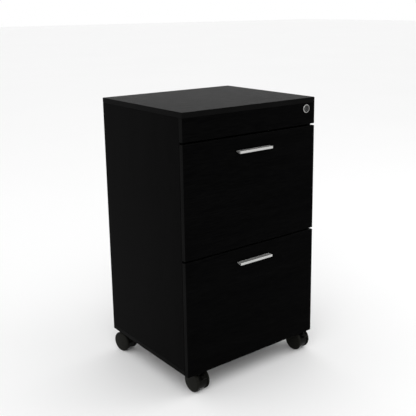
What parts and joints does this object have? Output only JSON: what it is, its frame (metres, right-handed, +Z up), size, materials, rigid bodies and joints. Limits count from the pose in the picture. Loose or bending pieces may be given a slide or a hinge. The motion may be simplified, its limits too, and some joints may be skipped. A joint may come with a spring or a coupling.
{
  "type": "rolling pedestal cabinet",
  "caption": "Narrow under-desk cabinet of black laminated board with a fixed lock rail, file drawers on telescopic slides, lip handles and hooded twin-wheel casters.",
  "frame": {"origin": "on the floor under the middle of the cabinet", "axes": "+X to the right seen from the front, -Y out of the drawer fronts, +Z up"},
  "size_m": [0.3873, 0.3461, 0.653],
  "materials": {
    "black_laminate": "semi-matt melamine with a fine grain",
    "hardboard": "smooth painted hardboard",
    "satin_metal": "satin",
    "polished_metal": "polished",
    "plated_steel": "zinc plated",
    "caster_wheel": "moulded nylon, semi-matt",
    "caster_nylon": "moulded nylon, semi-matt"
  },
  "bodies": {
    "cabinet": {"top_panel": "black_laminate", "bottom_panel": "black_laminate", "left_side_panel": "black_laminate", "right_side_panel": "black_laminate", "back_panel": "black_laminate", "lock_rail": "black_laminate", "carcass_fittings": "plated_steel", "lock_housing": "polished_metal", "lock_nut": "plated_steel", "caster_plates": "plated_steel", "caster_kingpins": "plated_steel", "caster_screws": "plated_steel", "upper_fixed_slides": "plated_steel", "lower_fixed_slides": "plated_steel"},
    "upper_drawer": {"upper_drawer_front": "black_laminate", "upper_drawer_left_side": "black_laminate", "upper_drawer_right_side": "black_laminate", "upper_drawer_back": "black_laminate", "upper_drawer_bottom": "hardboard", "upper_drawer_fittings": "plated_steel", "upper_file_rails": "plated_steel", "upper_handle": "satin_metal", "upper_handle_screws": "plated_steel", "upper_drawer_slides": "plated_steel", "upper_lock_catch": "plated_steel"},
    "upper_middle_slide": {"upper_middle_slides": "plated_steel"},
    "lower_drawer": {"lower_drawer_front": "black_laminate", "lower_drawer_left_side": "black_laminate", "lower_drawer_right_side": "black_laminate", "lower_drawer_back": "black_laminate", "lower_drawer_bottom": "hardboard", "lower_drawer_fittings": "plated_steel", "lower_file_rails": "plated_steel", "lower_handle": "satin_metal", "lower_handle_screws": "plated_steel", "lower_drawer_slides": "plated_steel", "lower_lock_catch": "plated_steel"},
    "lower_middle_slide": {"lower_middle_slides": "plated_steel"},
    "lock_plug": {"lock_plug": "polished_metal", "lock_cam": "plated_steel"},
    "lock_bar": {"lock_bar": "plated_steel", "lock_bar_lugs": "plated_steel"},
    "front_left_caster": {"front_left_caster_hood": "caster_nylon", "front_left_caster_axle": "plated_steel"},
    "front_left_wheel_a": {"front_left_wheel_a": "caster_wheel"},
    "front_left_wheel_b": {"front_left_wheel_b": "caster_wheel"},
    "front_left_brake": {"front_left_brake_lever": "caster_nylon"},
    "front_right_caster": {"front_right_caster_hood": "caster_nylon", "front_right_caster_axle": "plated_steel"},
    "front_right_wheel_a": {"front_right_wheel_a": "caster_wheel"},
    "front_right_wheel_b": {"front_right_wheel_b": "caster_wheel"},
    "front_right_brake": {"front_right_brake_lever": "caster_nylon"},
    "back_left_caster": {"back_left_caster_hood": "caster_nylon", "back_left_caster_axle": "plated_steel"},
    "back_left_wheel_a": {"back_left_wheel_a": "caster_wheel"},
    "back_left_wheel_b": {"back_left_wheel_b": "caster_wheel"},
    "back_right_caster": {"back_right_caster_hood": "caster_nylon", "back_right_caster_axle": "plated_steel"},
    "back_right_wheel_a": {"back_right_wheel_a": "caster_wheel"},
    "back_right_wheel_b": {"back_right_wheel_b": "caster_wheel"}
  },
  "joints": [
    {"name": "upper_drawer_slide", "type": "slide", "parent": "cabinet", "child": "upper_drawer", "axis": [0, -1, 0], "range_m": [0, 0.25]},
    {"name": "upper_middle_slide_travel", "type": "slide", "parent": "cabinet", "child": "upper_middle_slide", "axis": [0, -1, 0], "range_m": [0, 0.125]},
    {"name": "lower_drawer_slide", "type": "slide", "parent": "cabinet", "child": "lower_drawer", "axis": [0, -1, 0], "range_m": [0, 0.25]},
    {"name": "lower_middle_slide_travel", "type": "slide", "parent": "cabinet", "child": "lower_middle_slide", "axis": [0, -1, 0], "range_m": [0, 0.125]},
    {"name": "lock_turn", "type": "hinge", "parent": "cabinet", "child": "lock_plug", "pos_m": [0.1638, -0.1595, 0.6275], "axis": [0, 1, 0], "range_deg": [0, 90]},
    {"name": "lock_bar_travel", "type": "slide", "parent": "cabinet", "child": "lock_bar", "axis": [0, 0, 1], "range_m": [-0.01273, 0]},
    {"name": "front_left_swivel", "type": "hinge", "parent": "cabinet", "child": "front_left_caster", "pos_m": [-0.1506, -0.1174, 0.05], "axis": [0, 0, 1], "continuous": true},
    {"name": "front_left_wheel_a_spin", "type": "hinge", "parent": "front_left_caster", "child": "front_left_wheel_a", "pos_m": [-0.14962, -0.13437, 0.0249], "axis": [0.9983, 0.0576, 0], "continuous": true},
    {"name": "front_left_wheel_b_spin", "type": "hinge", "parent": "front_left_caster", "child": "front_left_wheel_b", "pos_m": [-0.14962, -0.13437, 0.0249], "axis": [0.9983, 0.0576, 0], "continuous": true},
    {"name": "front_left_brake_press", "type": "hinge", "parent": "front_left_caster", "child": "front_left_brake", "pos_m": [-0.14893, -0.14635, 0.038], "axis": [0.9983, 0.0576, 0], "range_deg": [0, 14]},
    {"name": "front_right_swivel", "type": "hinge", "parent": "cabinet", "child": "front_right_caster", "pos_m": [0.1708, -0.1151, 0.05], "axis": [0, 0, 1], "continuous": true},
    {"name": "front_right_wheel_a_spin", "type": "hinge", "parent": "front_right_caster", "child": "front_right_wheel_a", "pos_m": [0.17225, -0.13204, 0.0249], "axis": [0.9963, 0.0854, 0], "continuous": true},
    {"name": "front_right_wheel_b_spin", "type": "hinge", "parent": "front_right_caster", "child": "front_right_wheel_b", "pos_m": [0.17225, -0.13204, 0.0249], "axis": [0.9963, 0.0854, 0], "continuous": true},
    {"name": "front_right_brake_press", "type": "hinge", "parent": "front_right_caster", "child": "front_right_brake", "pos_m": [0.17328, -0.14399, 0.038], "axis": [0.9963, 0.0854, 0], "range_deg": [0, 14]},
    {"name": "back_left_swivel", "type": "hinge", "parent": "cabinet", "child": "back_left_caster", "pos_m": [-0.1685, 0.1293, 0.05], "axis": [0, 0, 1], "continuous": true},
    {"name": "back_left_wheel_a_spin", "type": "hinge", "parent": "back_left_caster", "child": "back_left_wheel_a", "pos_m": [-0.17221, 0.14589, 0.0249], "axis": [-0.9759, -0.2181, 0], "continuous": true},
    {"name": "back_left_wheel_b_spin", "type": "hinge", "parent": "back_left_caster", "child": "back_left_wheel_b", "pos_m": [-0.17221, 0.14589, 0.0249], "axis": [-0.9759, -0.2181, 0], "continuous": true},
    {"name": "back_right_swivel", "type": "hinge", "parent": "cabinet", "child": "back_right_caster", "pos_m": [0.1685, 0.1293, 0.05], "axis": [0, 0, 1], "continuous": true},
    {"name": "back_right_wheel_a_spin", "type": "hinge", "parent": "back_right_caster", "child": "back_right_wheel_a", "pos_m": [0.16702, 0.14624, 0.0249], "axis": [-0.9962, -0.0872, 0], "continuous": true},
    {"name": "back_right_wheel_b_spin", "type": "hinge", "parent": "back_right_caster", "child": "back_right_wheel_b", "pos_m": [0.16702, 0.14624, 0.0249], "axis": [-0.9962, -0.0872, 0], "continuous": true}
  ],
  "couplings": [
    {"joint": "upper_middle_slide_travel", "follows": "upper_drawer_slide", "ratio": 0.5},
    {"joint": "lower_middle_slide_travel", "follows": "lower_drawer_slide", "ratio": 0.5},
    {"joint": "lock_turn", "follows": "lock_bar_travel", "rad_per_m": -123.39}
  ]
}
